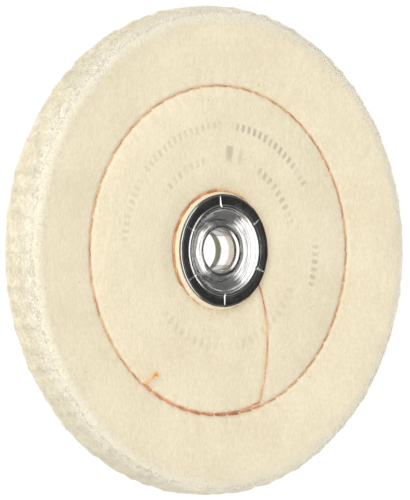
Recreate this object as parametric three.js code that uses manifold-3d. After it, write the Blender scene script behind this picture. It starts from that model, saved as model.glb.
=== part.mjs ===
// Cotton polishing wheel: sixty muslin discs sewn together by two rings of stitches and gripped
// at the arbor hole by a pressed-steel hub.
//
// Millimetres. The wheel turns about Y, its front face looks along -Y and +Z is up. The origin
// is the wheel's centre. A "height" below is a distance from the wheel's middle plane, towards
// whichever face is being built, and an angle runs from +X towards +Z as seen from the front.

import * as THREE from 'three';
import { mergeVertices } from 'three/addons/utils/BufferGeometryUtils.js';
import Module from 'manifold-3d';

const wasm = await Module();
wasm.setup();

const FRONT = -1;
const REAR = 1;

// Driving dimensions.
const WHEEL_RADIUS = 76.2; // a 6 inch wheel
const ARBOR_RADIUS = 6.35; // a 1/2 inch spindle
const HUB_HEIGHT = 7.5; // the flange that a spindle washer bears on
const RIM_HEIGHT = 7.9; // the cloth springs a little proud of the hub near its edge
const CUSHION_HEIGHT = 6.6; // and swells between the two rings of stitches
const INNER_RING = { radius: 18.55, height: 4.75 }; // the cloth's surface under the stitches
const OUTER_RING = { radius: 51.4, height: 5.0 };
const THREAD_DIAMETER = 0.65;
const STEEL = 0.5; // sheet thickness of the cup washers
const EYELET_STEEL = 0.4;
const FACETS = 32; // round the axis

// Clearances that keep neighbouring solids apart.
const DISC_GAP = 0.03;
const SLIP_GAP = 0.05;
const THREAD_GAP = 0.06;

const cotton = { color: 0xefe4c6, roughness: 0.95, metalness: 0 };
const steel = { color: 0xc9c9cc, roughness: 0.15, metalness: 1 };
const thread = { color: 0xd9783c, roughness: 0.8, metalness: 0 };

const wheel = new THREE.Group();

function addPart(name, geometry, finish) {
  const mesh = new THREE.Mesh(geometry, new THREE.MeshStandardMaterial(finish));
  mesh.name = name;
  wheel.add(mesh);
}

// ---- Solids of revolution ------------------------------------------------------------------

// A closed ring about the wheel's axis from an outline of [radius, height] points.
function ring(outline, side) {
  const points = outline.map(([radius, height]) => new THREE.Vector2(radius, side * height));
  if (THREE.ShapeUtils.isClockWise(points)) points.reverse();
  points.push(points[0].clone());
  return new THREE.LatheGeometry(points, FACETS);
}

// The outline of a bent sheet: its middle line, offset to both sides by half its thickness.
function sheetOutline(middle, thickness) {
  const points = middle.map(([radius, height]) => new THREE.Vector2(radius, height));
  const normals = points.slice(1).map((point, i) => {
    const along = point.clone().sub(points[i]).normalize();
    return new THREE.Vector2(-along.y, along.x);
  });
  const offset = (distance) => points.map((point, i) => {
    const before = normals[Math.max(i - 1, 0)];
    const after = normals[Math.min(i, normals.length - 1)];
    const mitre = before.clone().add(after);
    mitre.multiplyScalar(distance / (1 + before.dot(after)));
    return [point.x + mitre.x, point.y + mitre.y];
  });
  return [...offset(thickness / 2), ...offset(-thickness / 2).reverse()];
}

// ---- Steel hub -----------------------------------------------------------------------------

const CUP_RADIUS = 17.5;
const CUP_SHOULDER = 13.6; // where the flat flange turns down into the dish
const DISH_RADIUS = 10.2;
const DISH_HEIGHT = 4.7; // of the dish's visible floor
const EYELET_LIP_RADIUS = 9.5;
const EYELET_CREST = { radius: 7.6, rise: 0.55 }; // the top of the rolled lip, above its edge
const CUP_HOLE = ARBOR_RADIUS + EYELET_STEEL + 3 * SLIP_GAP;

// Six creases, pressed into each flange to bite the cloth.
const CREASES = 6;
const CREASE_DEPTH = 0.25;
const CREASE_WIDTH = 0.7;
const FIRST_CREASE = Math.PI / 2;

// A closed geometry as a solid that can be cut.
function solidOf(geometry) {
  const bare = geometry.clone();
  bare.deleteAttribute('normal');
  bare.deleteAttribute('uv');
  const merged = mergeVertices(bare, 1e-3);
  return new wasm.Manifold(new wasm.Mesh({
    numProp: 3,
    vertProperties: merged.attributes.position.array,
    triVerts: new Uint32Array(merged.index.array),
  }));
}

function geometryOf(solid) {
  const mesh = solid.getMesh();
  return new THREE.BufferGeometry()
    .setAttribute('position', new THREE.BufferAttribute(mesh.vertProperties, 3))
    .setIndex(new THREE.BufferAttribute(mesh.triVerts, 1));
}

// A radial V-shaped cutter that reaches CREASE_DEPTH into the flange.
function creaseCutter(angle, side) {
  const from = CUP_SHOULDER + 0.6;
  const to = CUP_RADIUS - 0.9;
  const above = 0.2;
  const halfWidth = (CREASE_WIDTH / 2) * (1 + above / CREASE_DEPTH);
  const section = new THREE.Shape([
    new THREE.Vector2(0, -CREASE_DEPTH),
    new THREE.Vector2(halfWidth, above),
    new THREE.Vector2(-halfWidth, above),
  ]);
  const cutter = new THREE.ExtrudeGeometry(section, { depth: to - from, bevelEnabled: false });
  cutter.translate(0, HUB_HEIGHT, from);
  cutter.rotateY(Math.PI / 2 - angle);
  if (side === FRONT) cutter.rotateZ(Math.PI);
  return solidOf(cutter);
}

// A dished washer: a flat flange, a rounded shoulder and a sloping dish down to the eyelet.
function cupWasher(side) {
  const flange = HUB_HEIGHT - STEEL / 2;
  const floor = DISH_HEIGHT - STEEL / 2;
  const middle = [
    [CUP_RADIUS - STEEL / 2, flange - 0.6],
    [CUP_RADIUS - 0.7, flange],
    [CUP_SHOULDER + 0.4, flange],
    [CUP_SHOULDER - 0.4, flange - 0.45],
    [DISH_RADIUS + 0.4, floor + 0.2],
    [DISH_RADIUS - 0.3, floor],
    [CUP_HOLE, floor],
  ];
  let washer = solidOf(ring(sheetOutline(middle, STEEL), side));
  for (let i = 0; i < CREASES; i += 1) {
    washer = washer.subtract(creaseCutter(FIRST_CREASE + (i * 2 * Math.PI) / CREASES, side));
  }
  return geometryOf(washer);
}

// The tubular eyelet that lines the arbor hole, each end rolled over a dish's floor.
function eyelet() {
  const barrel = ARBOR_RADIUS + EYELET_STEEL / 2;
  const seat = DISH_HEIGHT + SLIP_GAP + EYELET_STEEL / 2;
  const lip = [
    [EYELET_LIP_RADIUS, seat],
    [EYELET_CREST.radius + 0.9, seat + 0.4 * EYELET_CREST.rise],
    [EYELET_CREST.radius, seat + EYELET_CREST.rise],
    [barrel + 0.3, seat + 0.8 * EYELET_CREST.rise],
    [barrel, seat - 0.25],
  ];
  const rearLip = lip.map(([radius, height]) => [radius, -height]).reverse();
  return ring(sheetOutline([...lip, ...rearLip], EYELET_STEEL), REAR);
}

addPart('front_cup_washer', cupWasher(FRONT), steel);
addPart('rear_cup_washer', cupWasher(REAR), steel);
addPart('arbor_eyelet', eyelet(), steel);

// ---- Cotton discs --------------------------------------------------------------------------

// The sixty discs are thirty solids of two discs each. The inner solids fan out evenly from
// the hub to the rim, and the two face solids have the cushion's shape.
const DISCS_PER_SOLID = 2;
const INNER_SOLIDS = 28;
const CLOTH_BORE = CUP_HOLE + 0.2;
const GROOVE = 0.6; // half the width of the flat under a ring of stitches
const RIM_ROUNDING = 2.6; // how far the rim's corners are worn in
const FAN = [ // the boundary between the inner solids and a face solid
  [CLOTH_BORE, 3.85],
  [OUTER_RING.radius, 4.65],
  [WHEEL_RADIUS, 7.3],
];

// The rim is slightly barrel-shaped: a disc's radius shrinks towards the faces.
function rimRadius(height) {
  const out = Math.abs(height) / RIM_HEIGHT;
  return WHEEL_RADIUS - RIM_ROUNDING * out ** 6;
}

// Where the fan's boundary reaches at a radius, by straight lines between its points.
function fanHeight(radius) {
  const i = radius <= FAN[1][0] ? 0 : 1;
  const [[r0, h0], [r1, h1]] = [FAN[i], FAN[i + 1]];
  return h0 + ((h1 - h0) * (radius - r0)) / (r1 - r0);
}

function innerSolid(index) {
  const share = (edge) => (2 * edge) / INNER_SOLIDS - 1;
  const [low, high] = [share(index), share(index + 1)];
  const edge = rimRadius((RIM_HEIGHT * (low + high)) / 2);
  const radii = [CLOTH_BORE, OUTER_RING.radius, edge];
  const rise = (radius, part, gap) => [radius, fanHeight(radius) * part + gap];
  return ring([
    ...radii.map((radius) => rise(radius, low, DISC_GAP / 2)),
    ...radii.reverse().map((radius) => rise(radius, high, -DISC_GAP / 2)),
  ], REAR);
}

// The swell between the two rings of stitches, and the rise from the outer ring to the rim.
function faceHeight(radius) {
  if (radius < OUTER_RING.radius) {
    const span = OUTER_RING.radius - INNER_RING.radius - 2 * GROOVE;
    const along = (radius - INNER_RING.radius - GROOVE) / span;
    const seam = THREE.MathUtils.lerp(INNER_RING.height, OUTER_RING.height, along);
    return seam + (CUSHION_HEIGHT - seam) * Math.sin(Math.PI * along) ** 0.6;
  }
  const along = (radius - OUTER_RING.radius - GROOVE) / (0.8 * (WHEEL_RADIUS - OUTER_RING.radius));
  const rise = 1 - (1 - Math.min(along, 1)) ** 2.4;
  return OUTER_RING.height + (RIM_HEIGHT - OUTER_RING.height) * rise;
}

const CUSHION_RADII = [21, 25, 32, 40, 46, 49.2];
const MARGIN_RADII = [54.5, 58.5, 64, 72.2];

function faceSolid(side) {
  const underCup = DISH_HEIGHT - STEEL - 0.1;
  const underFlange = HUB_HEIGHT - STEEL - 0.15;
  const onFace = (radius) => [radius, faceHeight(radius)];
  const flat = (row) => [
    [row.radius - GROOVE, row.height],
    [row.radius + GROOVE, row.height],
  ];
  const edge = rimRadius(FAN[2][1]);
  return ring([
    [CLOTH_BORE, underCup],
    [DISH_RADIUS + 0.5, underCup],
    [CUP_SHOULDER + 0.4, underFlange - 0.1],
    [CUP_RADIUS - 1.2, underFlange - 0.1],
    ...flat(INNER_RING),
    ...CUSHION_RADII.map(onFace),
    ...flat(OUTER_RING),
    ...MARGIN_RADII.map(onFace),
    [edge - 0.6, RIM_HEIGHT - 0.5],
    [edge, fanHeight(edge) + DISC_GAP / 2],
    [OUTER_RING.radius, FAN[1][1] + DISC_GAP / 2],
    [CLOTH_BORE, FAN[0][1] + DISC_GAP / 2],
  ], side);
}

// Discs are numbered from the front face: 1 and 2 are the front face, 59 and 60 the rear one.
addPart('front_face_discs', faceSolid(FRONT), cotton);
for (let i = 0; i < INNER_SOLIDS; i += 1) {
  const last = (i + 2) * DISCS_PER_SOLID;
  const numbers = [last - DISCS_PER_SOLID + 1, last].map((n) => String(n).padStart(2, '0'));
  addPart(`discs_${numbers.join('_')}`, innerSolid(i), cotton);
}
addPart('rear_face_discs', faceSolid(REAR), cotton);

// ---- Stitching -----------------------------------------------------------------------------

// Each face shows one thread. It starts at a short tail, goes once round the outer ring and
// over its own start, crosses to the inner ring and goes round that.
const TAIL_ANGLE = -125;
const CROSSING_ANGLE = -72; // where the thread leaves the outer ring
const ARRIVAL_ANGLE = -27; // and where it joins the inner one
const SECOND_PASS = 0.8; // how far inside the first pass the second one lies
const ANGLE_STEP = 5;
const THREAD_SIDES = 6;
const THREAD_STEPS = 130;

function onWheel(radius, degrees, height, side) {
  const angle = THREE.MathUtils.degToRad(degrees);
  const across = side === FRONT ? 1 : -1; // each face shows the same hand to its own viewer
  return new THREE.Vector3(
    across * radius * Math.cos(angle), side * height, radius * Math.sin(angle));
}

function arc(radius, from, to, height, side) {
  const count = Math.round(Math.abs(to - from) / ANGLE_STEP);
  return Array.from({ length: count + 1 }, (_, i) => (
    onWheel(radius, from + ((to - from) * i) / count, height, side)));
}

function threadRoute(side) {
  const above = THREAD_DIAMETER / 2 + THREAD_GAP;
  const outerHeight = OUTER_RING.height + above;
  const innerHeight = INNER_RING.height + above;
  const secondRadius = OUTER_RING.radius - SECOND_PASS;
  const firstRadius = OUTER_RING.radius;
  const tail = [
    onWheel(47.6, TAIL_ANGLE + 1, 7.3, side),
    onWheel(49.6, TAIL_ANGLE + 0.5, 7.0, side),
    onWheel(51.2, TAIL_ANGLE + 2, 6.0, side),
  ];
  const leaving = onWheel(secondRadius, CROSSING_ANGLE, outerHeight, side);
  const arriving = onWheel(INNER_RING.radius, ARRIVAL_ANGLE, innerHeight, side);
  const crossing = [0.07, 0.2, 0.4, 0.6, 0.8, 0.93].map((share) => {
    const point = leaving.clone().lerp(arriving, share);
    point.x += Math.sign(point.x) * 3 * Math.sin(Math.PI * share); // it bows outwards
    point.y = side * (faceHeight(Math.hypot(point.x, point.z)) + above + 0.1);
    return point;
  });
  return new THREE.CatmullRomCurve3([
    ...tail,
    ...arc(firstRadius, TAIL_ANGLE + 5, TAIL_ANGLE + 345, outerHeight, side),
    ...arc(secondRadius, TAIL_ANGLE + 355, CROSSING_ANGLE + 360, outerHeight, side),
    ...crossing,
    ...arc(INNER_RING.radius, ARRIVAL_ANGLE, ARRIVAL_ANGLE - 348, innerHeight, side),
  ], false, 'centripetal');
}

function stitchThread(side) {
  const section = new THREE.Shape(Array.from({ length: THREAD_SIDES }, (_, i) => {
    const angle = (i * 2 * Math.PI) / THREAD_SIDES;
    return new THREE.Vector2(Math.cos(angle), Math.sin(angle))
      .multiplyScalar(THREAD_DIAMETER / 2);
  }));
  return new THREE.ExtrudeGeometry(section, {
    extrudePath: threadRoute(side), steps: THREAD_STEPS, bevelEnabled: false,
  });
}

addPart('needle_thread', stitchThread(FRONT), thread);
addPart('bobbin_thread', stitchThread(REAR), thread);

export default wheel;
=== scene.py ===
"""The looks of a cotton polishing wheel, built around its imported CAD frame.

Sixty muslin discs with frayed edges are sewn together by two rings of lock-stitch and gripped
at the arbor hole by two dished cup washers and an eyelet of nickel-plated steel.

The row frame is in metres, and the wheel turns about Y with its front face towards -Y. Shapes
are worked out here in millimetres and in wheel coordinates: a radius, an angle that runs from
+X towards +Z as seen from the front, and a height from the wheel's middle plane. A "depth" is a
share of the stack of discs, from -1 at its front face to 1 at its rear one.
"""

import math

import bmesh
import bpy
import numpy as np
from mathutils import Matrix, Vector


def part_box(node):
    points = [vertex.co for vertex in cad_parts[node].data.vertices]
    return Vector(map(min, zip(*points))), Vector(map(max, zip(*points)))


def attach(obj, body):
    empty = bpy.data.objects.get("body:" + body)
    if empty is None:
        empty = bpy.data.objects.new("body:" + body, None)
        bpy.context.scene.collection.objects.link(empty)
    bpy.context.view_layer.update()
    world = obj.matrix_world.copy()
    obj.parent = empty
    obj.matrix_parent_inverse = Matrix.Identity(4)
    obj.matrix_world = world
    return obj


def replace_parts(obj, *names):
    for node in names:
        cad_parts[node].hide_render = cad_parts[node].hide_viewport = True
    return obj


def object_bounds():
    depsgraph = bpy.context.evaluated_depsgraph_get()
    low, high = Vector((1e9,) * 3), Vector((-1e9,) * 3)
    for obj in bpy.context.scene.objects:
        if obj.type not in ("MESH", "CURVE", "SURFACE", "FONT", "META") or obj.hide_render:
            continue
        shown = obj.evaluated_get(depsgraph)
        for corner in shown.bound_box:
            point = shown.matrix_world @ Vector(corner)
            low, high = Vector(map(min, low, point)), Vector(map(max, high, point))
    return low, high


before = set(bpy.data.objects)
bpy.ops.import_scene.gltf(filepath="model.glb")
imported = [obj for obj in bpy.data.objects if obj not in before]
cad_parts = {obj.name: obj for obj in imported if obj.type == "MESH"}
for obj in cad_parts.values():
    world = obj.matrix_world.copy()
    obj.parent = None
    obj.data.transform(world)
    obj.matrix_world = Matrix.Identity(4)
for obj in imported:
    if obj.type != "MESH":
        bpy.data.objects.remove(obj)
cad_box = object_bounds()

MM = 0.001
TURN = 2 * math.pi
FRONT, REAR = -1, 1
AXIS = np.array([0.0, 1.0, 0.0])  # towards the rear
BODY = "root"


# ---- Sizes -----------------------------------------------------------------------------------

def outer_radius(node):
    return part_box(node)[1].x / MM


def rear_height(node):
    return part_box(node)[1].y / MM


# In millimetres. The first three and the outer ring of stitches follow the CAD solids.
WHEEL_RADIUS = cad_box[1].x / MM
RIM_HEIGHT = rear_height("rear_face_discs")
HUB_RADIUS = outer_radius("rear_cup_washer")
THREAD_DIAMETER = 0.36
DOUBLED_DIAMETER = 0.48  # where the thread is doubled
TAIL_DIAMETER = 0.58  # of the cut end, where the thread has untwisted
OUTER_RING = outer_radius("needle_thread") - 0.3  # radius of the outer stitches
INNER_RING = 18.55
BORE_LINE = 6.7  # the painted shade in the bore ends at this radius, on the rolled lips

DISCS = 60
CLOTH_BORE = 7.25
OUTER_STITCHES = 62
INNER_STITCHES = 22


# ---- Meshes ----------------------------------------------------------------------------------

def add_object(name, data):
    made = bpy.data.objects.new(name, data)
    bpy.context.scene.collection.objects.link(made)
    return made


def signed_volume(vertices, faces):
    """Positive where the faces of a closed mesh point out."""
    first = vertices[faces[:, 0]]
    total = 0.0
    for i in range(1, faces.shape[1] - 1):
        cross = np.cross(vertices[faces[:, i]], vertices[faces[:, i + 1]])
        total += np.einsum("ij,ij->", first, cross)
    return total


def make_piece(name, vertices, face_sets, material, slot):
    """A closed mesh from points in millimetres and arrays of faces with 3 or 4 corners each."""
    vertices = np.asarray(vertices, float).reshape(-1, 3)
    if sum(signed_volume(vertices, faces) for faces in face_sets) < 0:
        face_sets = [faces[:, ::-1] for faces in face_sets]
    mesh = bpy.data.meshes.new(name)
    mesh.vertices.add(len(vertices))
    mesh.vertices.foreach_set("co", (vertices * MM).ravel())
    corners = np.concatenate([faces.ravel() for faces in face_sets])
    sizes = np.concatenate([np.full(len(faces), faces.shape[1]) for faces in face_sets])
    mesh.loops.add(len(corners))
    mesh.loops.foreach_set("vertex_index", corners.astype(np.int32))
    mesh.polygons.add(len(sizes))
    starts = np.concatenate([[0], np.cumsum(sizes)[:-1]])
    mesh.polygons.foreach_set("loop_start", starts.astype(np.int32))
    mesh.update(calc_edges=True)
    mesh.shade_smooth()
    mesh.materials.append(material)
    piece = add_object(name, mesh)
    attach(piece, BODY)
    return piece


def ring_faces(outline, around):
    """Quads of a closed outline of points that is carried once round the axis."""
    i = np.arange(outline)[:, None]
    j = np.arange(around)[None, :]
    here, there = i * around, (i + 1) % outline * around
    j_next = (j + 1) % around
    return np.stack([here + j, here + j_next, there + j_next, there + j], -1).reshape(-1, 4)


def ring_piece(name, vertices, material, slot):
    """A closed ring round the axis, from rows of points: one row for each point of its outline."""
    return make_piece(name, vertices, [ring_faces(*vertices.shape[:2])], material, slot)


def tube_faces(rings, sides):
    """Quads along a tube of rings, and the fans of triangles that close its two ends."""
    i = np.arange(rings - 1)[:, None]
    j = np.arange(sides)[None, :]
    j_next = (j + 1) % sides
    here, there = i * sides, (i + 1) * sides
    quads = np.stack([here + j, here + j_next, there + j_next, there + j], -1).reshape(-1, 4)
    fan = np.arange(1, sides - 1)
    start = np.stack([np.zeros_like(fan), fan + 1, fan], -1)
    end = np.stack([np.zeros_like(fan), fan, fan + 1], -1) + (rings - 1) * sides
    return quads, np.concatenate([start, end])


def place(radius, angle, height):
    """Wheel coordinates as points of the row frame."""
    radius, angle, height = np.broadcast_arrays(radius, angle, height)
    return np.stack([radius * np.cos(angle), height, radius * np.sin(angle)], -1)


def smoothstep(low, high, value):
    share = np.clip((value - low) / (high - low), 0, 1)
    return share * share * (3 - 2 * share)


def bump(value, centre, width):
    return np.exp(-(((value - centre) / width) ** 2))


def ripples(angle, counts, rng):
    """A smooth random function of the angle, of about unit size, from whole waves per turn."""
    total = sum(rng.normal() * np.cos(count * angle + rng.uniform(0, TURN)) for count in counts)
    return total / math.sqrt(len(counts))


def unit(vectors):
    return vectors / np.linalg.norm(vectors, axis=1, keepdims=True)


# ---- Materials -------------------------------------------------------------------------------

def feed(tree, socket, value):
    """Set an input to a value, or link it to another node's socket."""
    if isinstance(value, bpy.types.NodeSocket):
        tree.links.new(value, socket)
    else:
        socket.default_value = value


def fill(tree, made, **inputs):
    """Feed a node's inputs by name, with an underscore in place of each space."""
    for name, value in inputs.items():
        feed(tree, made.inputs[name.replace("_", " ")], value)


def node(tree, kind, settings=None, **inputs):
    """A shader node. Settings are its properties, and inputs are values or other nodes' sockets."""
    made = tree.nodes.new(kind)
    for name, value in (settings or {}).items():
        setattr(made, name, value)
    fill(tree, made, **inputs)
    return made


def calc(tree, operation, *values):
    """A Math node's result."""
    made = tree.nodes.new("ShaderNodeMath")
    made.operation = operation
    for socket, value in zip(made.inputs, values):
        feed(tree, socket, value)
    return made.outputs[0]


def times(tree, first, second):
    return calc(tree, "MULTIPLY", first, second)


def plus(tree, first, second):
    return calc(tree, "ADD", first, second)


def blend(tree, first, first_share, second, second_share):
    """Two values added up by their shares."""
    return plus(tree, times(tree, first, first_share), times(tree, second, second_share))


def axes(tree, where):
    """The X, Y and Z of a place."""
    return node(tree, "ShaderNodeSeparateXYZ", Vector=where).outputs


def ramp(tree, value, low, high, at_low=0.0, at_high=1.0):
    """A value mapped smoothly from low..high to at_low..at_high."""
    made = node(tree, "ShaderNodeMapRange", {"interpolation_type": "SMOOTHSTEP"},
                Value=value, From_Min=low, From_Max=high, To_Min=at_low, To_Max=at_high)
    return made.outputs["Result"]


def tint(tree, share, first, second):
    """One colour blended into another by a share."""
    made = tree.nodes.new("ShaderNodeMix")
    made.data_type = "RGBA"
    for number, value in ((0, share), (6, first), (7, second)):
        feed(tree, made.inputs[number], value)
    return made.outputs[2]


def noise(tree, where, scale, detail=2.0, roughness=0.5):
    made = node(tree, "ShaderNodeTexNoise", Vector=where, Scale=scale, Detail=detail,
                Roughness=roughness)
    return made.outputs["Fac"]


def relief(tree, shader, strength, distance, height):
    """Bump a shader by a height. The distance is in millimetres."""
    made = node(tree, "ShaderNodeBump", Strength=strength, Distance=distance * MM, Height=height)
    fill(tree, shader, Normal=made.outputs[0])


def grey(value):
    return value, value, value, 1


def new_material(name):
    """A material, its tree and shader, and the place of a point in millimetres."""
    material = bpy.data.materials.new(name)
    material.use_nodes = True
    tree = material.node_tree
    shader = tree.nodes["Principled BSDF"]
    place_in_mm = node(tree, "ShaderNodeVectorMath", {"operation": "SCALE"},
                       Vector=tree.nodes.new("ShaderNodeTexCoord").outputs["Object"],
                       Scale=1 / MM).outputs[0]
    return material, tree, shader, place_in_mm


def turned(tree, where, degrees, stretch=(1, 1, 1)):
    """Coordinates turned about the wheel's axis, then stretched."""
    made = node(tree, "ShaderNodeMapping", {"vector_type": "POINT"}, Vector=where)
    made.inputs["Rotation"].default_value = (0, math.radians(degrees), 0)
    made.inputs["Scale"].default_value = stretch
    return made.outputs[0]


WEAVE_PITCH = 0.42  # millimetres from one yarn to the next
FACE_GRAIN = 14  # how far the weave of the face discs is turned, in degrees
COTTON_LIGHT = (0.865, 0.772, 0.575, 1)
COTTON_SHADE = (0.745, 0.652, 0.455, 1)
PILE_LIGHT = (0.88, 0.82, 0.65, 1)
PILE_SHADE = (0.80, 0.73, 0.555, 1)
FRAYED_WHITE = (0.78, 0.73, 0.59, 1)
# A painted highlight: the pale colour that the pile is given towards the rim's rounded corners.
CORNER_HIGHLIGHT_WHITE = (0.92, 0.87, 0.74, 1)
FRAY_START = 69.5  # radius from which the face pales towards its frayed edge
FRAY_END = 74.0
SEED_BROWN = (0.30, 0.22, 0.13, 1)
INK_GREY = (0.29, 0.255, 0.19, 1)

# Flecks of cotton seed: the size of a cell, a fleck's size in it, the share of the cells that
# hold one, and strength.
SEED_FLECKS = [(7.0, 0.05, 0.35, 0.5), (3.1, 0.055, 0.3, 0.3)]

# Worn arcs of print: radius, half width, dashes a turn, start and end in turns, and strength.
INK_ARCS = [(39.0, 1.5, 104, 0.24, 0.50, 0.22), (39.0, 1.5, 104, 0.08, 0.24, 0.52),
            (37.5, 1.5, 98, -0.06, 0.02, 0.40), (28.8, 1.5, 70, 0.04, 0.18, 0.40),
            (30.2, 2.8, 36, 0.20, 0.26, 0.42), (28.8, 1.5, 70, 0.28, 0.40, 0.26),
            (30.0, 1.6, 66, -0.40, -0.05, 0.18)]


def weave_height(tree, where):
    """Plain weave: yarns that pass over and under each other."""
    along = axes(tree, where)
    step = math.pi / WEAVE_PITCH
    return times(tree, *(calc(tree, "SINE", times(tree, along[axis], step)) for axis in "XZ"))


def seed_specks(tree, where, cell, size, share):
    """Flecks of cotton seed: small dots in a share of the cells."""
    cells = node(tree, "ShaderNodeTexVoronoi", Vector=where, Scale=1 / cell)
    dot = ramp(tree, cells.outputs["Distance"], size * 0.6, size, 1.0, 0.0)
    pick = node(tree, "ShaderNodeSeparateColor", Color=cells.outputs["Color"]).outputs[0]
    chosen = calc(tree, "LESS_THAN", pick, share)
    return times(tree, dot, chosen)


def polar(tree, where):
    """The radius and the angle, in turns, of a point of the wheel."""
    x, _, z = axes(tree, where)
    radius = calc(tree, "SQRT", plus(tree, times(tree, x, x), times(tree, z, z)))
    return radius, calc(tree, "DIVIDE", calc(tree, "ARCTAN2", z, x), TURN)


def radial_yarns(tree, where):
    """Streaks along the wheel's radii, like yarns combed over its edge."""
    outward = node(tree, "ShaderNodeVectorMath", {"operation": "NORMALIZE"},
                   Vector=turned(tree, where, 0, (1, 0, 1))).outputs[0]
    return noise(tree, outward, 110.0, 3.0, 0.6)


def ink_dashes(tree, where, ring_radius, half_width, per_turn, from_turn, to_turn):
    """A worn arc of plain printed dashes, with no lettering."""
    radius, turn = polar(tree, where)
    off_ring = calc(tree, "ABSOLUTE", calc(tree, "SUBTRACT", radius, ring_radius))
    on_ring = ramp(tree, off_ring, half_width - 0.7, half_width + 0.1, 1.0, 0.0)
    phase = calc(tree, "FRACT", times(tree, turn, per_turn))
    off_dash = calc(tree, "ABSOLUTE", calc(tree, "SUBTRACT", phase, 0.5))
    dash = ramp(tree, off_dash, 0.15, 0.35, 1.0, 0.0)
    after = ramp(tree, turn, from_turn, from_turn + 0.02)
    before = ramp(tree, turn, to_turn - 0.02, to_turn, 1.0, 0.0)
    ink = times(tree, times(tree, on_ring, dash), times(tree, after, before))
    return times(tree, ink, ramp(tree, noise(tree, where, 0.22, 2.0), 0.3, 0.6, 0.25, 1.0))


def cotton_face(name, printed):
    """Unbleached muslin: mottled cream with slubs, seed flecks and, on one face, worn ink."""
    material, tree, shader, where = new_material(name)
    uneven = node(tree, "ShaderNodeTexNoise", Vector=where, Scale=0.6, Detail=2.0).outputs["Color"]
    cloth = tree.nodes.new("ShaderNodeVectorMath")
    for socket, value in zip(cloth.inputs, (turned(tree, where, FACE_GRAIN), uneven)):
        feed(tree, socket, value)
    mottle = blend(tree, noise(tree, where, 0.9, 4.0, 0.6), 0.6, noise(tree, where, 0.07, 2.0), 0.4)
    slubs = noise(tree, turned(tree, where, FACE_GRAIN, (2.2, 1, 0.45)), 1.0, 3.0)
    share = ramp(tree, blend(tree, mottle, 0.65, slubs, 0.35), 0.34, 0.66)
    colour = tint(tree, share, COTTON_SHADE, COTTON_LIGHT)
    for cell, size, chosen, strength in SEED_FLECKS:
        specks = seed_specks(tree, where, cell, size, chosen)
        colour = tint(tree, times(tree, specks, strength), colour, SEED_BROWN)
    if printed:
        for ring, half_width, per_turn, start, end, strength in INK_ARCS:
            ink = ink_dashes(tree, where, ring, half_width, per_turn, start, end)
            colour = tint(tree, times(tree, ink, strength), colour, INK_GREY)
    yarns = radial_yarns(tree, where)
    stray = calc(tree, "SUBTRACT", plus(tree, noise(tree, where, 0.4, 2.0), yarns), 1.0)
    ragged = times(tree, stray, 4.0)
    fray = ramp(tree, plus(tree, polar(tree, where)[0], ragged), FRAY_START, FRAY_END)
    colour = tint(tree, times(tree, fray, 0.8), colour, FRAYED_WHITE)
    fuzz = noise(tree, where, 2.6, 4.0, 0.65)
    height = plus(tree, times(tree, weave_height(tree, cloth.outputs[0]), 0.2), fuzz)
    height = plus(tree, height, times(tree, yarns, times(tree, fray, 3.5)))
    relief(tree, shader, 0.55, 0.11, height)
    fill(tree, shader, Base_Color=colour, Roughness=0.92, Specular_IOR_Level=0.2, Sheen_Weight=0.15,
         Sheen_Roughness=0.5)
    return material


def cotton_pile(name):
    """The cut edges of the discs and their loose yarns, with a painted highlight that pales them towards
    the rim's corners.
    """
    material, tree, shader, where = new_material(name)
    share = ramp(tree, noise(tree, where, 0.5, 3.0), 0.35, 0.65)
    colour = tint(tree, share, PILE_SHADE, PILE_LIGHT)
    off_middle = calc(tree, "ABSOLUTE", axes(tree, where)["Y"])
    # Painted highlight: the pile is painted paler away from the middle of the stack, towards the rim's
    # corners.
    colour = tint(tree, ramp(tree, off_middle, 2.5, 6.0, 0.0, 0.7), colour, CORNER_HIGHLIGHT_WHITE)
    relief(tree, shader, 0.4, 0.06, noise(tree, where, 6.0, 2.0))
    fill(tree, shader, Base_Color=colour, Roughness=0.95, Specular_IOR_Level=0.15, Sheen_Weight=0.2,
         Subsurface_Weight=0.2, Subsurface_Radius=(1.0, 0.85, 0.6), Subsurface_Scale=0.4 * MM)
    return material


def sewing_thread(name, deep, light):
    """Matt twisted thread, darker between its strands."""
    material, tree, shader, where = new_material(name)
    patchy = blend(tree, noise(tree, where, 0.22, 2.0), 0.6, noise(tree, where, 1.6, 3.0), 0.4)
    share = ramp(tree, patchy, 0.36, 0.62)
    relief(tree, shader, 0.5, 0.03, noise(tree, where, 14.0, 2.0))
    fill(tree, shader, Base_Color=tint(tree, share, deep, light), Roughness=0.75, Sheen_Weight=0.2)
    return material


NICKEL_SMUDGED = (0.71, 0.70, 0.68, 1)
NICKEL_BRIGHT = (0.86, 0.855, 0.84, 1)
# Painted shade for the flange's cut edge, where the cloth beside it shades the edge.
SHADED_EDGE_STEEL = (0.16, 0.16, 0.155, 1)
# Painted shade in the bore: dark olive towards its rear end, brown-grey towards its front.
BORE_SHADE_REAR = (0.16, 0.15, 0.10, 1)
BORE_SHADE_FRONT = (0.50, 0.45, 0.39, 1)


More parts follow.
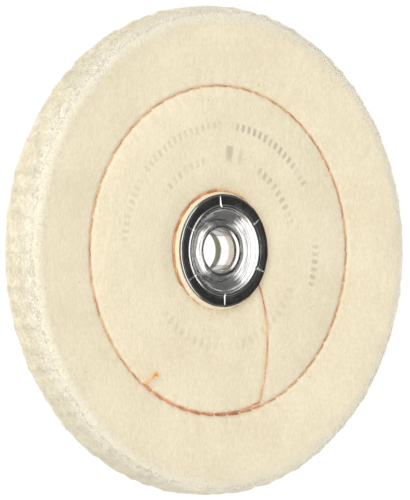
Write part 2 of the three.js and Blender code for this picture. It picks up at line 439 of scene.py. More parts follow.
def nickel_plate(name, roughest, shaded_bore=False):
    """Bright nickel over pressed steel: smudged, finely scratched and slightly uneven.

    The flange's cut edge is painted dull grey, as shade from the cloth beside it. The bore is
    painted with shade, olive towards its rear end and brown towards its front.
    """
    material, tree, shader, where = new_material(name)
    smudge = ramp(tree, noise(tree, where, 0.35, 4.0, 0.6), 0.3, 0.7)
    radius = polar(tree, where)[0]
    colour = tint(tree, smudge, NICKEL_SMUDGED, NICKEL_BRIGHT)
    # Painted shade: the flange's cut edge is darkened to dull grey.
    colour = tint(tree, ramp(tree, radius, HUB_RADIUS - 0.1, HUB_RADIUS), colour, SHADED_EDGE_STEEL)
    if shaded_bore:
        # Painted shade: the bore's wall is darkened to olive towards its rear and to brown towards its
        # front.
        in_bore = ramp(tree, radius, BORE_LINE, BORE_LINE + 0.25, 1.0, 0.0)
        depth = plus(tree, axes(tree, where)["Y"], times(tree, noise(tree, where, 0.5, 3.0), 0.6))
        at_rear, at_front = ramp(tree, depth, 2.0, 2.8), ramp(tree, depth, -2.0, -1.0, 1.0, 0.0)
        colour = tint(tree, times(tree, in_bore, at_rear), colour, BORE_SHADE_REAR)
        colour = tint(tree, times(tree, in_bore, at_front), colour, BORE_SHADE_FRONT)
    scratches = noise(tree, turned(tree, where, 35, (9.0, 2, 0.5)), 1.0, 3.0)
    dull = blend(tree, smudge, 0.5, scratches, 0.5)
    roughness = ramp(tree, dull, 0.25, 0.8, 0.06, roughest)
    drawn = node(tree, "ShaderNodeTexNoise", {"noise_dimensions": "1D"}, W=radius, Scale=1.3,
                 Detail=1.5).outputs["Fac"]
    uneven = plus(tree, noise(tree, where, 0.16, 2.0), times(tree, drawn, 1.8))
    relief(tree, shader, 0.4, 0.15, uneven)
    fill(tree, shader, Base_Color=colour, Metallic=1.0, Roughness=roughness)
    return material


FACE_COTTON = cotton_face("cotton_face_printed", True)
PLAIN_COTTON = cotton_face("cotton_face_plain", False)
PILE_COTTON = cotton_pile("cotton_pile")
ORANGE = sewing_thread("orange_thread", (0.52, 0.18, 0.055, 1), (0.83, 0.47, 0.23, 1))
DEEP_ORANGE = sewing_thread("orange_thread_doubled", (0.44, 0.13, 0.035, 1), (0.76, 0.34, 0.14, 1))
ORANGE_FUZZ = sewing_thread("orange_thread_end", (0.62, 0.24, 0.07, 1), (0.86, 0.46, 0.17, 1))
ORANGE_TIP = sewing_thread("orange_thread_tip", (0.84, 0.38, 0.06, 1), (0.95, 0.58, 0.16, 1))
NICKEL = nickel_plate("nickel_plate", 0.17)
NICKEL_TUBE = nickel_plate("nickel_tube", 0.3, shaded_bore=True)


# ---- The stack of discs ----------------------------------------------------------------------

# Half the stack's thickness at each radius, without the stitches: at the faces, and spread
# evenly through the stack, as it would be if the discs were flat.
FACE_PROFILE = [(7, 4.15), (10.4, 4.15), (13.8, 6.6), (17.2, 6.6), (18.5, 5.3), (20.5, 5.8),
                (25, 6.45), (36, 6.85), (45, 6.55), (49, 6.0), (51.4, 5.55), (54, 5.9),
                (60, 6.8), (67, 7.5), (72, 7.85), (77, 7.85)]
EVEN_PROFILE = [(7, 4.1), (14, 4.6), (18.5, 4.9), (36, 5.6), (51.4, 5.3), (72, 7.85), (77, 7.85)]
ROLL_START = 70.6  # radius from which the outer discs bend over towards the rim
ROLL = 0.22  # share of its height that a face disc has lost 4 mm further out
ROLL_CURVE = RIM_HEIGHT * ROLL / 16
PROFILE_STEP = 0.1
PROFILE_BLUR = 1.0


def blurred(points):
    """A profile's corners rounded off by a running average."""
    radii = np.arange(0, 90, PROFILE_STEP)
    heights = np.interp(radii, *zip(*points))
    reach = np.arange(-3 * PROFILE_BLUR, 3 * PROFILE_BLUR + PROFILE_STEP, PROFILE_STEP)
    weights = np.exp(-((reach / PROFILE_BLUR) ** 2))
    weights /= weights.sum()
    pad = len(reach) // 2
    return radii, np.convolve(np.pad(heights, pad, mode="edge"), weights, mode="valid")[:len(radii)]


# How far the cloth of a face leaves its profile, in millimetres.
SWELL = 0.09
PUCKER = 0.30
RING_GROOVE = 0.42  # under a ring of stitches
HOLE_PIT = 0.15  # and this much more at its needle holes
RUN_GROOVE = 0.22  # under the crossing run
EDGE_BULGE = 1.05  # where the cloth is squeezed up round the hub's edge

FACE_CURVE = blurred(FACE_PROFILE)
EVEN_CURVE = blurred(EVEN_PROFILE)

# The crossing run of thread, which leaves the outer ring and goes under the hub's flange.
TAIL_ANGLE = math.radians(-126.9)
CROSSING_ANGLE = math.radians(-72)
ARRIVAL_ANGLE = math.radians(-27)
CROSSING_BOW = 2.6
DRIFT = 1.1  # how far the doubled thread has left the outer ring where it turns off to cross
INNER_DOUBLED = math.radians(95), math.radians(215)  # where the inner ring is sewn twice


def crossing_line(count):
    """Points of the crossing run in the wheel's plane, from the outer ring to the hub."""
    start = (OUTER_RING - 0.3 - DRIFT) * np.array([math.cos(CROSSING_ANGLE), math.sin(CROSSING_ANGLE)])
    end = (HUB_RADIUS - 0.7) * np.array([math.cos(ARRIVAL_ANGLE), math.sin(ARRIVAL_ANGLE)])
    share = np.linspace(0, 1, count)[:, None]
    line = start + (end - start) * share
    line[:, 0] += CROSSING_BOW * np.sin(math.pi * share[:, 0])
    return line


def stitch_phase(angle, stitches):
    """0 at each needle hole and 1 half way along each stitch."""
    return np.abs(np.sin(angle * stitches / 2))


class Face:
    """The relief of one face of the wheel."""

    def __init__(self, side, seed):
        rng = np.random.default_rng(seed)
        self.side = side
        self.phases = rng.uniform(0, TURN, 40)
        self.sizes = rng.normal(size=40)
        self.line = crossing_line(24)

    def own_angle(self, angle):
        """The angle as this face's own viewer sees it."""
        return angle if self.side == FRONT else math.pi - angle

    def unevenness(self, radius, angle):
        """Broad, shallow swells that the cloth takes as it is sewn."""
        total = 0.0
        for i in range(14):
            waves = 2 + i
            spiral = radius * (0.02 + 0.006 * i)
            total = total + self.sizes[i] * np.cos(waves * angle + spiral + self.phases[i])
        return total / math.sqrt(14)

    def puckers(self, radius, angle):
        """Folds that run from the needle holes into the cloth on both sides of a ring."""
        total = 0.0
        for ring, stitches, reach in ((OUTER_RING, OUTER_STITCHES, 3.2),
                                      (INNER_RING, INNER_STITCHES, 2.2)):
            away = np.abs(radius - ring)
            fade = np.exp(-away / reach) * smoothstep(0.2, 1.4, away)
            sway = self.sizes[20] * np.cos(7 * angle + self.phases[20]) * 0.4
            total = total + fade * (stitch_phase(angle + 0.01 * sway, stitches) - 0.6)
        return total

    def height(self, radius, angle):
        angle = self.own_angle(angle)
        open_cloth = smoothstep(HUB_RADIUS + 0.5, HUB_RADIUS + 4, radius)
        total = np.interp(radius, *FACE_CURVE)
        total = total + SWELL * open_cloth * self.unevenness(radius, angle)
        total = total + PUCKER * open_cloth * self.puckers(radius, angle)
        for ring, stitches, width in ((OUTER_RING, OUTER_STITCHES, 0.8),
                                      (INNER_RING, INNER_STITCHES, 0.7)):
            holes = 1 - stitch_phase(angle, stitches)
            total = total - bump(radius, ring, width) * (RING_GROOVE + HOLE_PIT * holes ** 2)
        total = total + EDGE_BULGE * bump(radius, HUB_RADIUS + 0.3, 0.42)
        return total - RUN_GROOVE * self.crease(radius, angle)

    def crease(self, radius, angle):
        """The groove that the crossing run of thread presses into the cloth."""
        x, z = radius * np.cos(angle), radius * np.sin(angle)
        nearest = np.full(np.shape(x), 1e9)
        for point in self.line:
            nearest = np.minimum(nearest, (x - point[0]) ** 2 + ((z - point[1]) * 0.5) ** 2)
        return np.exp(-nearest / 0.8 ** 2)


FACES = {FRONT: Face(FRONT, 11), REAR: Face(REAR, 23)}
rim_rng = np.random.default_rng(5)
SWAY_PHASES = rim_rng.uniform(0, TURN, 12)[:6]  # the unused draws keep the next ones in place
WOBBLE_COUNTS = (3, 5, 8, 13, 21, 27, 34, 41)
WOBBLE = [(count, rim_rng.normal() / 2.8, rim_rng.uniform(0, TURN)) for count in WOBBLE_COUNTS]


def wobble(angle):
    """How far the whole rim is out of round, in units of a typical amount."""
    return sum(size * np.cos(count * angle + phase) for count, size, phase in WOBBLE)


def tufts(angle):
    """Where the frayed yarns of all the discs stand out together."""
    return ripples(angle, (58, 67, 79, 92, 107), np.random.default_rng(61))


def stack_height(depth, radius, angle, detailed=True):
    """Height of the cloth at a depth through the stack."""
    even = np.interp(radius, *EVEN_CURVE)
    if detailed:
        face = np.where(depth < 0, FACES[FRONT].height(radius, angle),
                        FACES[REAR].height(radius, angle))
    else:
        face = np.interp(radius, *FACE_CURVE)
    height = depth * (even + (face - even) * np.abs(depth) ** 5)
    roll = ROLL * (np.maximum(radius - ROLL_START, 0) / 4) ** 2
    height = height * (1 - roll * depth ** 2)
    loose = smoothstep(58, 75, radius) * (1 - depth ** 2)
    sway = sum(np.cos((6 + 5 * i) * angle + phase + depth * (1 + i))
               for i, phase in enumerate(SWAY_PHASES))
    return height + 0.16 * loose * sway


DISC_RADIUS = WHEEL_RADIUS - 0.4
RIM_CORNER = 2.1  # how far in the face discs end, where the rim's corners are worn round
CORNER_DEPTH = 0.4  # the corners start this far from the middle of the stack
DISC_STEP = 2 / DISCS
DISC_FILL = 0.88  # the cloth's share of its layer of the stack


class Disc:
    """One disc of muslin: where it lies in the stack, and its uneven cut edge."""

    def __init__(self, number):
        self.number = number
        self.depth = (number - 0.5) * DISC_STEP - 1
        self.side = FRONT if self.depth < 0 else REAR
        self.on_face = number in (1, DISCS)
        self.rng = np.random.default_rng(1000 + number)
        self.corner = max(0.0, (abs(self.depth) - CORNER_DEPTH) / (1 - CORNER_DEPTH))
        self.nominal = DISC_RADIUS - RIM_CORNER * (1 - math.sqrt(1 - self.corner ** 2))
        counts = (4, 7, 11, 16, 23, 38, 57, 83)
        self.waves = [(count, self.rng.normal() / 2.8, self.rng.uniform(0, TURN)) for count in counts]
        self.name = f"disc_{number:02d}"

    def edge(self, angle):
        own = sum(size * np.cos(count * angle + phase) for count, size, phase in self.waves)
        return self.nominal + 0.22 * wobble(angle) + 0.1 * tufts(angle) + 0.07 * own


# The radii of the rows of points: on the outside of a face disc, where they crowd together at the
# stitches, on both sides of an inner disc, and on the inside of a face disc.
FACE_RADII = np.concatenate([
    [CLOTH_BORE, 9, 9.8, 10.4, 11, 12, 13, 14, 15, 16.5], np.arange(17.2, 21, 0.35),
    np.arange(21.4, 49, 0.9), np.arange(49.2, 53.8, 0.33), np.arange(54.2, 70.8, 0.9)])
INNER_RADII = np.array([CLOTH_BORE, 9, 10.4, 12, 14, 18.5, 24, 31, 38, 43, 48, 51.4, 55, 59.5, 64,
                        68, 72])
UNDER_RADII = np.append(70.5, INNER_RADII[-2:0:-1])
FACE_STEPS = 10 * OUTER_STITCHES
INNER_STEPS = FACE_STEPS // 2
FACE_RIM_INSETS = (2.9, 2.3, 1.7, 1.2, 0.8, 0.45, 0.2)
INNER_RIM_INSETS = (0.2,)
EDGE_FLAT = 0.42  # half the flat of a cut edge, as a share of the layer
EDGE_JAG = 0.13  # how ragged the cut edges of the face discs are


def disc_piece(disc):
    """A disc's cloth, as a thin closed ring."""
    around = FACE_STEPS if disc.on_face else INNER_STEPS
    angle = np.linspace(0, TURN, around, endpoint=False)
    edge = disc.edge(angle)
    if disc.on_face:
        edge = edge + EDGE_JAG * ripples(angle, range(90, 300, 7), disc.rng)
    outward = FACE_RADII if disc.on_face else INNER_RADII
    inward = UNDER_RADII if disc.on_face else INNER_RADII[::-1]
    outer_depth = disc.depth + disc.side * DISC_FILL * DISC_STEP / 2
    inner_depth = disc.depth - disc.side * DISC_FILL * DISC_STEP / 2

    def surface(radius, depth):
        return place(radius, angle[None, :], stack_height(depth, radius, angle[None, :]))

    def rows(radii, depth):
        spread = smoothstep(60, 72, radii)[:, None] * (edge - disc.nominal)[None, :]
        return surface(radii[:, None] + spread, depth)

    def rim(inset, depth):
        return surface((edge - inset)[None, :], depth)

    insets = FACE_RIM_INSETS if disc.on_face else INNER_RIM_INSETS
    loops = [rows(outward, outer_depth),
             *(rim(inset, outer_depth) for inset in insets),
             rim(0.0, disc.depth + disc.side * EDGE_FLAT * DISC_STEP),
             rim(0.0, disc.depth - disc.side * EDGE_FLAT * DISC_STEP),
             *(rim(inset, inner_depth) for inset in reversed(insets)),
             rows(inward, inner_depth)]
    if disc.number == 1:
        material = FACE_COTTON
    else:
        material = PLAIN_COTTON if disc.on_face else PILE_COTTON
    return ring_piece(disc.name, np.concatenate(loops), material, "cotton")


# ---- Frayed edges ----------------------------------------------------------------------------

def strands(base, direction, bend, length, thickness, segments):
    """Vertices and faces of many tapering three-sided strands, each one closed."""
    count = len(base)
    share = np.linspace(0, 1, segments + 1)
    reach = length[:, None, None]
    centre = base[:, None] + reach * (direction[:, None] * share[None, :, None]
                                      + bend[:, None] * (share ** 2)[None, :, None])
    across = unit(np.cross(direction, AXIS))
    upward = np.cross(across, direction)
    taper = thickness[:, None] * (1 - 0.35 * share[None, :] ** 2)
    corners = []
    for i in range(3):
        turn = i * TURN / 3
        offset = across * math.cos(turn) + upward * math.sin(turn)
        corners.append(centre + taper[..., None] * offset[:, None])
    vertices = np.stack(corners, 2).reshape(-1, 3)
    quads, ends = tube_faces(segments + 1, 3)
    shift = (np.arange(count) * 3 * (segments + 1))[:, None, None]
    return vertices, (quads[None] + shift).reshape(-1, 4), (ends[None] + shift).reshape(-1, 3)


YARNS = 1700  # loose yarn ends round a disc
LINT = 1100  # and finer fibres among them
COMBED = 2300  # longer yarn ends that lie on the edge of each face
NAP = 4400  # and short fuzz that is raised there


def loose_ends(disc, angle, radius, height, direction, bend, reach, thickness, segments):
    """Strands of uneven thickness that start at places of the wheel."""
    base = place(radius, angle, height)
    width = thickness * disc.rng.uniform(0.7, 1.15, len(angle))
    return strands(base, direction, bend, reach, width, segments)


def edge_directions(angle):
    """Unit vectors out of the wheel's edge and round it."""
    radial = place(np.ones(len(angle)), angle, np.zeros(len(angle)))
    return radial, np.stack([-radial[:, 2], np.zeros(len(angle)), radial[:, 0]], -1)


def fringe_strands(disc, count, thickness, length, slant, lift, segments):
    """Loose strands round a disc's cut edge, combed outwards."""
    rng = disc.rng
    angle = rng.uniform(0, TURN, count)
    inset = 0.5
    radius = disc.edge(angle) - inset
    height = stack_height(disc.depth, radius, angle, detailed=False)
    slope = (stack_height(disc.depth, radius + inset, angle, detailed=False) - height) / inset
    radial, around = edge_directions(angle)
    radial = unit(radial + slope[:, None] * AXIS)
    splay = disc.side * 0.2 * disc.corner ** 2
    tilt = rng.normal(0, slant, count)[:, None]
    raised = rng.normal(0, lift, count)[:, None]
    direction = unit(radial + around * tilt + AXIS * raised)
    curl = rng.normal(0, 0.3, count)[:, None]
    bend = around * curl + AXIS * (splay + rng.normal(0, 0.2, count))[:, None] - radial * 0.1
    reach = inset + length * rng.uniform(0.5, 1.0, count) * (1 + 0.35 * np.maximum(tufts(angle), 0))
    height = height + rng.uniform(-0.08, 0.08, count)
    return loose_ends(disc, angle, radius, height, direction, bend, reach, thickness, segments)


def on_surface(disc, radius, angle, sunk):
    """Just under a face disc's outer surface: the height, the way out along it and the way round."""
    surface = disc.depth + disc.side * 0.5 * DISC_STEP
    height = stack_height(surface, radius, angle)
    slope = (stack_height(surface, radius + 0.2, angle) - height) / 0.2
    radial, around = edge_directions(angle)
    return height - disc.side * sunk, radial + slope[:, None] * AXIS, around


def combed_strands(disc):
    """Yarns of a face disc that have come loose along the weave and lie over its edge."""
    rng = disc.rng
    angle = rng.uniform(0, TURN, COMBED)
    start = 1.2 + 4.0 * rng.uniform(0, 1, COMBED) ** 1.5
    radius = disc.edge(angle) - start
    height, outwards, around = on_surface(disc, radius, angle, 0.04)
    axial = disc.side * AXIS
    quarter = TURN / 4
    off_grain = (angle - math.radians(FACE_GRAIN) + quarter / 2) % quarter - quarter / 2
    slant = -0.55 * off_grain + rng.normal(0, 0.12, COMBED)
    direction = unit(outwards + around * slant[:, None] + axial * 0.03)
    reach = start + rng.uniform(-0.6, 0.4, COMBED)
    droop = ROLL_CURVE * reach + rng.normal(0, 0.008, COMBED)
    bend = -axial * droop[:, None] + around * rng.normal(0, 0.05, COMBED)[:, None]
    return loose_ends(disc, angle, radius, height, direction, bend, reach, 0.07, 4)


def nap_strands(disc):
    """Short fuzz raised on a face disc towards its edge."""
    rng = disc.rng
    angle = rng.uniform(0, TURN, NAP)
    radius = disc.edge(angle) - 5.5 * rng.uniform(0, 1, NAP) ** 1.6
    height, outwards, around = on_surface(disc, radius, angle, 0.02)
    axial = disc.side * AXIS
    lift = np.abs(rng.normal(0.08, 0.16, NAP))[:, None]
    direction = unit(outwards * rng.normal(0.8, 0.5, NAP)[:, None]
                     + around * rng.normal(0, 0.6, NAP)[:, None] + axial * lift)
    bend = -axial * 0.15 + around * rng.normal(0, 0.3, NAP)[:, None]
    return loose_ends(disc, angle, radius, height, direction, bend, rng.uniform(0.5, 1.4, NAP),
                      0.045, 2)


def joined(groups):
    """Several sets of strands as one set of points and faces."""
    vertices, quads, ends, shift = [], [], [], 0
    for points, some_quads, some_ends in groups:
        vertices.append(points)
        quads.append(some_quads + shift)
        ends.append(some_ends + shift)
        shift += len(points)
    return np.concatenate(vertices), [np.concatenate(quads), np.concatenate(ends)]


def fringe_piece(disc):
    """A disc's frayed edge: yarn ends and lint."""
    length = 0.45 + 0.1 * disc.corner ** 2
    groups = [fringe_strands(disc, YARNS, 0.085, length, 0.35, 0.2, 2),
              fringe_strands(disc, LINT, 0.03, length + 0.5, 0.7, 0.4, 2)]
    if disc.on_face:
        groups += [combed_strands(disc), nap_strands(disc)]
    return make_piece(disc.name + "_fringe", *joined(groups), PILE_COTTON, "cotton")


def cloth_nodes():
    """The CAD solids of the cloth, from the front face to the rear one."""
    inner = sorted(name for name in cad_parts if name.startswith("discs_"))
    return ["front_face_discs", *inner, "rear_face_discs"]


def sew_up_discs():
    solids = cloth_nodes()
    for number in range(1, DISCS + 1):
        disc = Disc(number)
        cloth = disc_piece(disc)
        fringe = fringe_piece(disc)
        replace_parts(cloth, solids[(number - 1) * len(solids) // DISCS])


# ---- Stitching -------------------------------------------------------------------------------

TWIST_STEP = 1.5  # from one strand to the next along a thread
THREAD_SIDES = 12


def thread_tube(name, centre, diameter, material):
    """A three-strand twisted thread along a line of points in millimetres."""
    steps = np.linalg.norm(np.diff(centre, axis=0), axis=1)
    along = np.concatenate([[0], np.cumsum(steps)])
    tangent = unit(np.gradient(centre, along, axis=0))
    side = unit(np.cross(tangent, AXIS))
    over = np.cross(side, tangent)
    turn = np.linspace(0, TURN, THREAD_SIDES, endpoint=False)[None, :]
    radius = diameter / 2 * (1 + 0.16 * np.cos(3 * turn - TURN * along[:, None] / TWIST_STEP))
    ring = (side[:, None] * np.cos(turn)[..., None] + over[:, None] * np.sin(turn)[..., None])
    vertices = (centre[:, None] + radius[..., None] * ring).reshape(-1, 3)
    return make_piece(name, vertices, tube_faces(len(centre), THREAD_SIDES), material, "orange_thread")


def on_face(side, radius, angle, above):
    """A point over a face's cloth, at an angle as that face's own viewer sees it."""
    angle = FACES[side].own_angle(angle)
    return place(radius, angle, side * (FACES[side].height(radius, angle) + above))


SAMPLES_PER_STITCH = 30
STITCH_DIP = 2.0  # how deep the ends of a tight stitch go into the cloth
STITCH_SWAY = 0.14
LEVEL_SPAN = 41  # samples over which a thread evens out the relief of the cloth
LOOSE, TIGHT = (0.05, 0.5), (0.4, 1.0)  # how deep stitches go, as shares of that


def lock_stitches(side, ring, stitches, start, end, above, pull=LOOSE, drift=0.0):
    """The line of a thread that dives into the cloth at each needle hole."""
    count = int(abs(end - start) / TURN * stitches * SAMPLES_PER_STITCH)
    angle = np.linspace(start, end, count)
    phase = (angle * stitches / TURN) % 1.0
    from_middle = np.abs(2 * phase - 1)
    rng = np.random.default_rng(int(ring * 10) + (0 if side == FRONT else 1))
    holes = np.round(angle * stitches / TURN).astype(int) % stitches
    sink = rng.uniform(*pull, stitches)[holes]
    dip = STITCH_DIP * sink * from_middle ** 8
    own = FACES[side].own_angle(angle)
    radius = ring - drift * np.linspace(0, 1, count) ** 4
    groove = FACES[side].height(radius, own)
    level = np.convolve(np.pad(groove, LEVEL_SPAN // 2, mode="edge"),
                        np.ones(LEVEL_SPAN) / LEVEL_SPAN, mode="valid")
    if ring == INNER_RING:  # at the bottom of the hub, this ring has sunk into the cloth
        level = level - 0.45 * bump((angle + TURN / 4 + TURN / 2) % TURN - TURN / 2, 0, 0.9)
    return place(radius + STITCH_SWAY * (2 * phase - 1), own, side * (level + above - dip))


def stitching(side):
    """The thread of one face: an outer ring with its doubled start, a crossing and an inner ring."""
    label, solid = ("front", "needle_thread") if side == FRONT else ("rear", "bobbin_thread")
    start = lock_stitches(side, OUTER_RING, OUTER_STITCHES, TAIL_ANGLE, CROSSING_ANGLE, 0.26, TIGHT)
    outer = lock_stitches(side, OUTER_RING, OUTER_STITCHES, CROSSING_ANGLE, TAIL_ANGLE + TURN, 0.26)
    doubled = lock_stitches(side, OUTER_RING - 0.28, OUTER_STITCHES, TAIL_ANGLE + 0.02,
                            CROSSING_ANGLE, 0.4, TIGHT, drift=DRIFT)
    inner = lock_stitches(side, INNER_RING, INNER_STITCHES, ARRIVAL_ANGLE, ARRIVAL_ANGLE - TURN, 0.25)
    locked = lock_stitches(side, INNER_RING + 0.3, INNER_STITCHES, *INNER_DOUBLED, 0.42)
    x, z = crossing_line(60).T
    cross = on_face(side, np.hypot(x, z), np.arctan2(z, x), 0.26)
    pieces = [
        thread_tube(f"{label}_first_stitches", start, THREAD_DIAMETER, DEEP_ORANGE),
        thread_tube(f"{label}_outer_stitches", outer, THREAD_DIAMETER, ORANGE),
        thread_tube(f"{label}_doubled_stitches", doubled, DOUBLED_DIAMETER, DEEP_ORANGE),
        thread_tube(f"{label}_inner_stitches", inner, DOUBLED_DIAMETER, ORANGE),
        thread_tube(f"{label}_locked_stitches", locked, DOUBLED_DIAMETER, DEEP_ORANGE),
        thread_tube(f"{label}_crossing_thread", cross, THREAD_DIAMETER, ORANGE),
        *thread_tail(side, label),
    ]
    for piece in pieces:
        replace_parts(piece, solid)


def thread_tail(side, label):
    """The cut end that stands up where the sewing starts, with its frayed tip."""
    share = np.linspace(0, 1, 24)
    radius = OUTER_RING - 0.2 - 3.6 * share
    angle = np.full(len(share), TAIL_ANGLE + 0.01)
    lift = 0.3 + 1.7 * share - 1.4 * (1 - share) ** 8
    line = place(radius, FACES[side].own_angle(angle), side * (np.interp(radius, *FACE_CURVE) + lift))
    tail = thread_tube(f"{label}_thread_tail", line, TAIL_DIAMETER, ORANGE_FUZZ)
    rng = np.random.default_rng(404)
    count = 90
    spread = unit(rng.normal(size=(count, 3)) + 0.9 * unit(line[-1:] - line[-4:-3]))
    fibres = strands(np.repeat(line[-1:], count, 0), spread, 0.3 * rng.normal(size=(count, 3)),
                     rng.uniform(0.5, 1.2, count), np.full(count, 0.1), 3)
    tip = make_piece(f"{label}_frayed_tip", fibres[0], fibres[1:], ORANGE_TIP, "orange_thread")
    return tail, tip


# ---- Steel hub -------------------------------------------------------------------------------

# The creases pressed into a hub flange: the direction of each in degrees, anticlockwise from
# 3 o'clock, and its size.
CREASES = ((96, 0.9), (154, 0.5), (213, 0.45), (270, 0.75), (337, 1.3), (35, 0.7))
CREASE_REACH = 0.045  # half the angle over which the points crowd together at a crease
CREASE_STEPS = 19
FLANGE_STEPS = 240
EYELET_STEPS = 192


def offset_outline(middle, thickness):
    """The closed outline of a bent sheet from its middle line: its radii and its heights."""
    tangent = unit(np.gradient(middle, axis=0))
    normal = np.stack([-tangent[:, 1], tangent[:, 0]], -1) * thickness / 2
    outline = np.concatenate([middle + normal, (middle - normal)[::-1]])
    return outline[:, :1], outline[:, 1:]


CURVE_STEPS = 5  # from each point of an outline to the next


def smooth_line(points):
    """A Catmull-Rom curve through the points."""
    points = np.asarray(points, float)
    padded = np.concatenate([[2 * points[0] - points[1]], points, [2 * points[-1] - points[-2]]])
    share = np.linspace(0, 1, CURVE_STEPS, endpoint=False)[:, None]
    line = []
    for p0, p1, p2, p3 in zip(padded, padded[1:], padded[2:], padded[3:]):
        line.append(0.5 * (2 * p1 + (p2 - p0) * share + (2 * p0 - 5 * p1 + 4 * p2 - p3) * share ** 2
                           + (3 * p1 - p0 - 3 * p2 + p3) * share ** 3))
    return np.concatenate(line + [points[-1:]])


def crease_depth(radius, angle):
    """How deep the pressed creases are: V grooves in a hub flange that widen towards the dish."""
    inner, outer = HUB_RADIUS - 3.6, HUB_RADIUS - 0.5
    along = np.clip((radius - inner) / (outer - inner), 0, 1)
    fade = (1 - 0.5 * along) * smoothstep(inner - 0.5, inner + 0.1, radius)
    fade = fade * (1 - smoothstep(outer - 0.3, outer + 0.3, radius))
    depth = 0
    for direction, size in CREASES:
        off = (angle - math.radians(direction) + TURN / 2) % TURN - TURN / 2
        half_width = (0.42 - 0.24 * along) * (0.5 + 0.5 * size)
        depth = depth + 0.34 * size * fade * np.clip(1 - np.abs(off * radius) / half_width, 0, 1)
    return depth


def crease_angles():
    """Angles round the hub, close together at the creases."""
    even = np.linspace(0, TURN, FLANGE_STEPS, endpoint=False)
    near = [math.radians(direction) + offset for direction, size in CREASES
            for offset in np.linspace(-CREASE_REACH, CREASE_REACH, CREASE_STEPS)]
    return np.unique(np.round(np.concatenate([even, np.array(near) % TURN]), 5))


# Middle lines of the pressed sheets, as radius and height: a cup washer's, from the edge of its
# flange to the bottom of its dish, and the eyelet's, from the edge of its lip to its tube.
CUP_STEEL = 0.46
CUP_MIDDLE = [(17.48, 7.08), (17.25, 7.19), (16.8, 7.24), (16.0, 7.26), (15.2, 7.24), (14.6, 7.2),
              (14.25, 7.2), (14.0, 7.32), (13.8, 7.42), (13.6, 7.4), (13.4, 7.2), (13.0, 6.5),
              (12.6, 6.08), (12.15, 5.72), (11.5, 5.38), (11.05, 5.14), (10.8, 4.96), (10.4, 4.7),
              (10.15, 4.61), (9.8, 4.5), (9.2, 4.43), (8.2, 4.43), (7.1, 4.43)]
TUBE_STEEL = 0.36
LIP_LINE = [(9.5, 4.98), (9.2, 5.04), (8.7, 5.2), (8.2, 5.4), (7.7, 5.52), (7.25, 5.5), (6.9, 5.26),
            (6.68, 4.8), (6.57, 4.2), (6.56, 3.4)]


def cup_washer(side, name, solid, seed):
    """A pressed cup: a creased flange with a slightly wavy edge, and a bright dish."""
    rng = np.random.default_rng(seed)
    angle = crease_angles()
    radius, height = offset_outline(smooth_line(CUP_MIDDLE), CUP_STEEL)
    wave = ripples(angle, (3, 5, 9, 14, 22), rng)[None, :]
    radius = radius + 0.05 * wave * smoothstep(16.5, 17.4, radius)
    warp = ripples(angle, (2, 3, 5, 7), rng)[None, :]
    height = height + 0.035 * warp * smoothstep(12, 15, radius)
    height = height - crease_depth(radius, angle[None, :])
    vertices = place(radius, angle[None, :], side * height)
    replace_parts(ring_piece(name, vertices, NICKEL, "nickel_steel"), solid)


def arbor_eyelet():
    """The tube through the hub, rolled over both dishes."""
    rng = np.random.default_rng(77)
    angle = np.linspace(0, TURN, EYELET_STEPS, endpoint=False)
    lip = smooth_line(LIP_LINE)
    middle = np.concatenate([lip, [[6.56, 2.0], [6.57, 0.8], [6.56, -0.8], [6.56, -2.0]],
                             (lip * (1, -1))[::-1]])
    radius, height = offset_outline(middle, TUBE_STEEL)
    dents = ripples(angle, (4, 9, 17, 29), rng)[None, :]
    radius = radius + 0.05 * dents * smoothstep(7.7, 8.4, radius)
    vertices = place(radius, angle[None, :], height)
    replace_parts(ring_piece("arbor_eyelet_tube", vertices, NICKEL_TUBE, "nickel_steel"), "arbor_eyelet")


# ---- Camera, light and floor -----------------------------------------------------------------

VIEW_AZIMUTH = math.radians(-39)
VIEW_DISTANCE = 1.5
VIEW_HEIGHT = 156.25  # the height of the picture, in millimetres at the wheel's centre
SENSOR_WIDTH = 36
CAMERA_SHIFT = -0.009, 0.001


def make_camera():
    data = bpy.data.cameras.new("camera")
    data.sensor_width = SENSOR_WIDTH
    data.lens = SENSOR_WIDTH * VIEW_DISTANCE / (VIEW_HEIGHT * MM)
    data.shift_x, data.shift_y = CAMERA_SHIFT
    camera = add_object("camera", data)
    back = Vector((math.sin(VIEW_AZIMUTH), -math.cos(VIEW_AZIMUTH), 0))
    camera.location = back * VIEW_DISTANCE
    camera.rotation_euler = (-back).to_track_quat("-Z", "Y").to_euler()
    bpy.context.scene.camera = camera


FLOOR_DROP = 0.09  # how far the floor is below the wheel
FLOOR_SIZE = 7.0


def make_floor():
    """A pale floor below the wheel, lit a little from within, that casts no light or shadow."""
    mesh = bpy.data.meshes.new("floor")
    mesh.from_pydata([(x * FLOOR_SIZE / 2, y * FLOOR_SIZE / 2, 0)
                      for x, y in ((-1, -1), (1, -1), (1, 1), (-1, 1))], [], [(0, 1, 2, 3)])
    material = bpy.data.materials.new("floor")
    material.use_nodes = True
    tree = material.node_tree
    fill(tree, tree.nodes["Principled BSDF"], Base_Color=grey(0.9), Roughness=1.0,
         Specular_IOR_Level=0.0, Emission_Color=grey(1), Emission_Strength=0.4)
    mesh.materials.append(material)
    floor = add_object("floor", mesh)
    floor.location.z = cad_box[0].z - FLOOR_DROP
    floor.visible_glossy = floor.visible_diffuse = floor.visible_shadow = False


# The softboxes, each with its azimuth and elevation in degrees and its power in watts.
SOFTBOX_SIZE = 0.9
SOFTBOX_DISTANCE = 1.4
SOFTBOXES = [("key", -60, 15, 7.8), ("fill_low_left", -80, -38, 6), ("fill_low_right", 98, -25, 12),
             ("fill_top", -60, 60, 3.5), ("fill_right", 112, 20, 8), ("fill_behind", -150, 15, 4)]
WORLD_LIGHT = 0.80
BACKDROP = 1.06  # a little over white


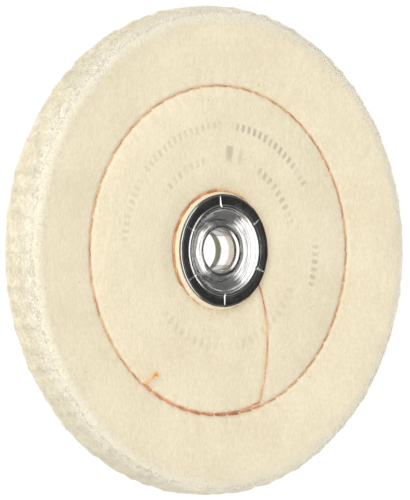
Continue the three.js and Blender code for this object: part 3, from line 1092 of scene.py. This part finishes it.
def softbox(name, azimuth, elevation, power):
    """An area light that faces the wheel's centre, from a direction in degrees."""
    data = bpy.data.lights.new(name, "AREA")
    data.size = SOFTBOX_SIZE
    data.energy = power
    light = add_object(name, data)
    a, e = math.radians(azimuth), math.radians(elevation)
    back = Vector((math.sin(a) * math.cos(e), -math.cos(a) * math.cos(e), math.sin(e)))
    light.location = back * SOFTBOX_DISTANCE
    light.rotation_euler = back.to_track_quat("Z", "Y").to_euler()
    light.visible_glossy = False


DOME_RADIUS = 4.0

# What the steel reflects. Each panel has a middle and half its size, as azimuth and elevation
# in degrees, a brightness and how softly it ends; the first are covered by those that follow.
DIM_STUDIO = 0.18
REFLECTED_PANELS = [
    ((-60, 5), (54, 70), 1.9, 10),
    ((-13, 0), (9, 50), 0.62, 5),
    ((5, 0), (12, 40), 1.5, 5),
    ((-150, 0), (40, 60), 1.3, 12),
    ((152, 0), (30, 50), 0.75, 12),
    ((0, 88), (180, 24), 0.8, 14),
    ((60, 38), (30, 20), 0.16, 10),
    ((105, 0), (38, 26), 0.13, 12),
    ((52, -2), (21, 15), 0.035, 6),
]


def reflected_light(tree):
    """A dim studio with bright panels and a dark side, by direction from the wheel's centre."""
    way = node(tree, "ShaderNodeVectorMath", {"operation": "NORMALIZE"},
               Vector=tree.nodes.new("ShaderNodeTexCoord").outputs["Object"]).outputs[0]
    x, y, z = axes(tree, way)
    azimuth = calc(tree, "DEGREES", calc(tree, "ARCTAN2", x, times(tree, y, -1.0)))
    elevation = calc(tree, "DEGREES", calc(tree, "ARCSINE", z))
    light = grey(DIM_STUDIO)
    for (middle_a, middle_e), (half_a, half_e), brightness, soft in REFLECTED_PANELS:
        masks = [ramp(tree, calc(tree, "ABSOLUTE", calc(tree, "SUBTRACT", value, middle)),
                      half - soft, half + soft, 1.0, 0.0)
                 for value, middle, half in ((azimuth, middle_a, half_a), (elevation, middle_e, half_e))]
        light = tint(tree, times(tree, *masks), light, grey(brightness))
    return light


def white_light(_tree):
    return grey(BACKDROP)


def dome(name, light, seen_by):
    """A glowing dome round the whole scene that only one kind of ray sees."""
    material = bpy.data.materials.new(name)
    material.use_nodes = True
    tree = material.node_tree
    tree.nodes.clear()
    glow = node(tree, "ShaderNodeEmission", Color=light(tree))
    node(tree, "ShaderNodeOutputMaterial", Surface=glow.outputs[0])
    mesh = bpy.data.meshes.new(name)
    shape = bmesh.new()
    bmesh.ops.create_icosphere(shape, subdivisions=5, radius=DOME_RADIUS)
    shape.to_mesh(mesh)
    shape.free()
    mesh.materials.append(material)
    made = add_object(name, mesh)
    for ray in ("camera", "diffuse", "glossy", "transmission", "volume_scatter", "shadow"):
        setattr(made, f"visible_{ray}", ray == seen_by)


def make_studio():
    scene = bpy.context.scene
    scene.view_settings.view_transform = "Standard"
    world = bpy.data.worlds.new("studio")
    scene.world = world
    world.use_nodes = True
    tree = world.node_tree
    fill(tree, tree.nodes["Background"], Color=grey(1), Strength=WORLD_LIGHT)
    dome("white_backdrop", white_light, "camera")
    dome("reflected_studio", reflected_light, "glossy")
    make_floor()
    for name, azimuth, elevation, power in SOFTBOXES:
        softbox(name, azimuth, elevation, power)


# ---- The scene -------------------------------------------------------------------------------

make_camera()
make_studio()
arbor_eyelet()
cup_washer(FRONT, "front_hub_cup", "front_cup_washer", 31)
cup_washer(REAR, "rear_hub_cup", "rear_cup_washer", 32)
sew_up_discs()
stitching(FRONT)
stitching(REAR)
